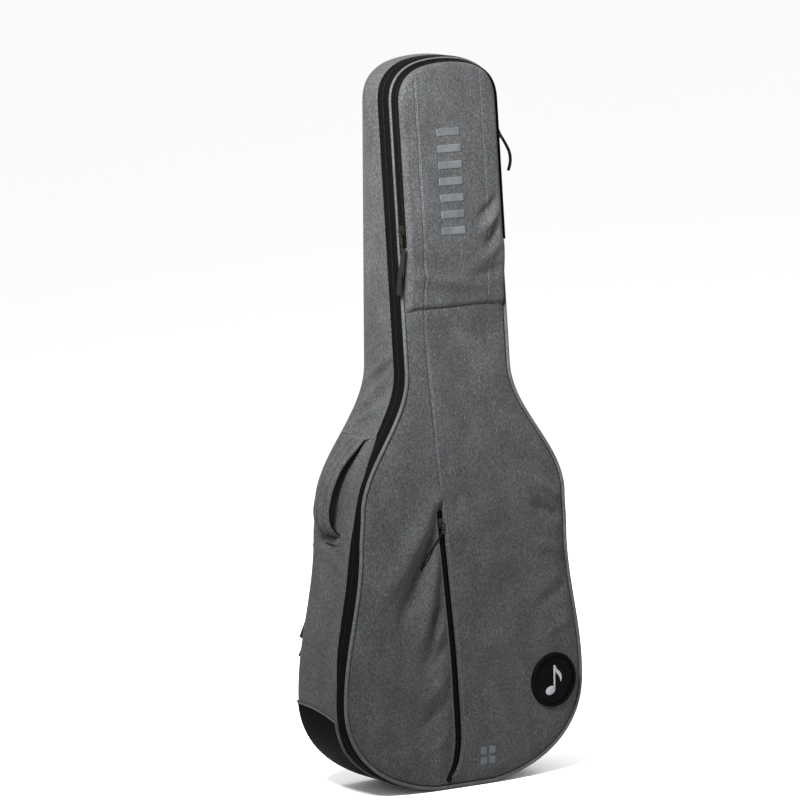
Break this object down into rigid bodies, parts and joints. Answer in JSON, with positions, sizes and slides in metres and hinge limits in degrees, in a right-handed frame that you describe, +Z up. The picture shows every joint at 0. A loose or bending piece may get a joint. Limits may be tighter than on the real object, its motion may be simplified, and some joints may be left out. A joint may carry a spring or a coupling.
{
  "type": "padded guitar gig bag",
  "caption": "Padded grey gig bag for an acoustic guitar, with a zipped hinged front, a headstock pocket, a slanting front pocket, a side handle and back straps.",
  "frame": {"origin": "centre of the flat foot under the tail, on the floor", "axes": "+Z up towards the headstock end, the zipped front faces -Y, +X to the right seen from the front"},
  "size_m": [0.4522, 0.1958, 1.1244],
  "materials": {
    "melange_fabric": "matte heathered weave",
    "foam": "closed-cell foam",
    "lining_fabric": "brushed nylon",
    "zip_tape": "woven tape",
    "zip_coil": "nylon coil",
    "guard_rubber": "textured matte",
    "piping": "satin",
    "strap_fabric": "matte weave",
    "webbing": "woven webbing",
    "buckle_plastic": "moulded",
    "patch_rubber": "moulded matte",
    "patch_print": "raised print",
    "reflective_print": "reflective film",
    "zip_metal": "dark antique",
    "black_metal": "black enamel",
    "pull_tab": "matte",
    "pull_cord": "braided cord"
  },
  "bodies": {
    "back_shell": {"shell_cover": "melange_fabric", "shell_foam": "foam", "shell_lining": "lining_fabric", "rear_zip_tape": "zip_tape", "main_zip_coil": "zip_coil", "bottom_guard": "guard_rubber", "guard_piping": "piping", "hinge_gusset": "melange_fabric", "handle_top_anchor": "melange_fabric", "handle_bottom_anchor": "melange_fabric", "strap_yoke": "strap_fabric", "left_strap_anchor": "webbing", "right_strap_anchor": "webbing"},
    "front_lid": {"lid_cover": "melange_fabric", "lid_foam": "foam", "lid_lining": "lining_fabric", "front_zip_tape": "zip_tape", "front_piping": "piping", "music_pocket_panel": "melange_fabric", "music_zip_tape": "zip_tape", "music_zip_coil": "zip_coil", "neck_pocket_gusset": "melange_fabric", "neck_pocket_foot": "melange_fabric", "neck_pocket_tape": "zip_tape", "neck_pocket_coil": "zip_coil", "rubber_patch": "patch_rubber", "patch_rim": "patch_rubber", "patch_emblem": "patch_print", "hem_motif": "reflective_print"},
    "neck_flap": {"neck_pocket_flap": "melange_fabric", "flap_zip_tape": "zip_tape", "flap_motif": "reflective_print"},
    "neck_slider": {"neck_zip_slider": "zip_metal"},
    "neck_pull": {"neck_zip_pull": "zip_metal", "neck_pull_tab": "pull_tab"},
    "music_slider": {"music_zip_slider": "black_metal"},
    "music_pull": {"music_zip_pull": "black_metal", "music_pull_cord": "pull_cord"},
    "main_slider": {"main_zip_slider": "zip_metal"},
    "main_pull": {"main_zip_pull": "zip_metal", "main_pull_tab": "pull_tab"},
    "side_handle": {"handle_face": "melange_fabric", "handle_lining": "zip_tape"},
    "left_strap": {"left_strap_pad": "strap_fabric", "left_strap_webbing": "webbing", "left_strap_buckle": "buckle_plastic"},
    "right_strap": {"right_strap_pad": "strap_fabric", "right_strap_webbing": "webbing", "right_strap_buckle": "buckle_plastic"}
  },
  "joints": [
    {"name": "lid_open", "type": "hinge", "parent": "back_shell", "child": "front_lid", "pos_m": [0.226, -0.053, 0.2], "axis": [0, 0, 1], "range_deg": [0, 110]},
    {"name": "neck_flap_fold", "type": "hinge", "parent": "front_lid", "child": "neck_flap", "pos_m": [0, -0.058, 0.8285], "axis": [1, 0, 0], "range_deg": [0, 150]},
    {"name": "neck_slider_travel", "type": "slide", "parent": "front_lid", "child": "neck_slider", "axis": [0, 0.0948, 0.9955], "range_m": [0, 0.165]},
    {"name": "neck_pull_swing", "type": "hinge", "parent": "neck_slider", "child": "neck_pull", "pos_m": [-0.0983, -0.04383, 0.86601], "axis": [0, 0.9955, -0.0948], "range_deg": [0, 160]},
    {"name": "music_slider_travel", "type": "slide", "parent": "front_lid", "child": "music_slider", "axis": [0.0951, 0, -0.9955], "range_m": [0, 0.31]},
    {"name": "music_pull_swing", "type": "hinge", "parent": "music_slider", "child": "music_pull", "pos_m": [-0.04515, -0.0775, 0.41564], "axis": [-0.9955, 0, -0.0951], "range_deg": [0, 150]},
    {"name": "main_slider_travel", "type": "slide", "parent": "back_shell", "child": "main_slider", "axis": [0, -0.0948, -0.9955], "range_m": [0, 0.35]},
    {"name": "main_pull_swing", "type": "hinge", "parent": "main_slider", "child": "main_pull", "pos_m": [0.1044, -0.00238, 1.02401], "axis": [0, -0.9955, 0.0948], "range_deg": [-20, 120]},
    {"name": "handle_rock", "type": "hinge", "parent": "back_shell", "child": "side_handle", "pos_m": [-0.18219, 0.002, 0.46619], "axis": [0.2739, 0, 0.9618], "range_deg": [-10, 10]},
    {"name": "left_strap_swing", "type": "hinge", "parent": "back_shell", "child": "left_strap", "pos_m": [-0.122, 0.084, 0.4145], "axis": [0.3697, 0, 0.9292], "range_deg": [-6, 6]},
    {"name": "right_strap_swing", "type": "hinge", "parent": "back_shell", "child": "right_strap", "pos_m": [0.122, 0.084, 0.4145], "axis": [-0.3697, 0, 0.9292], "range_deg": [-6, 6]}
  ]
}
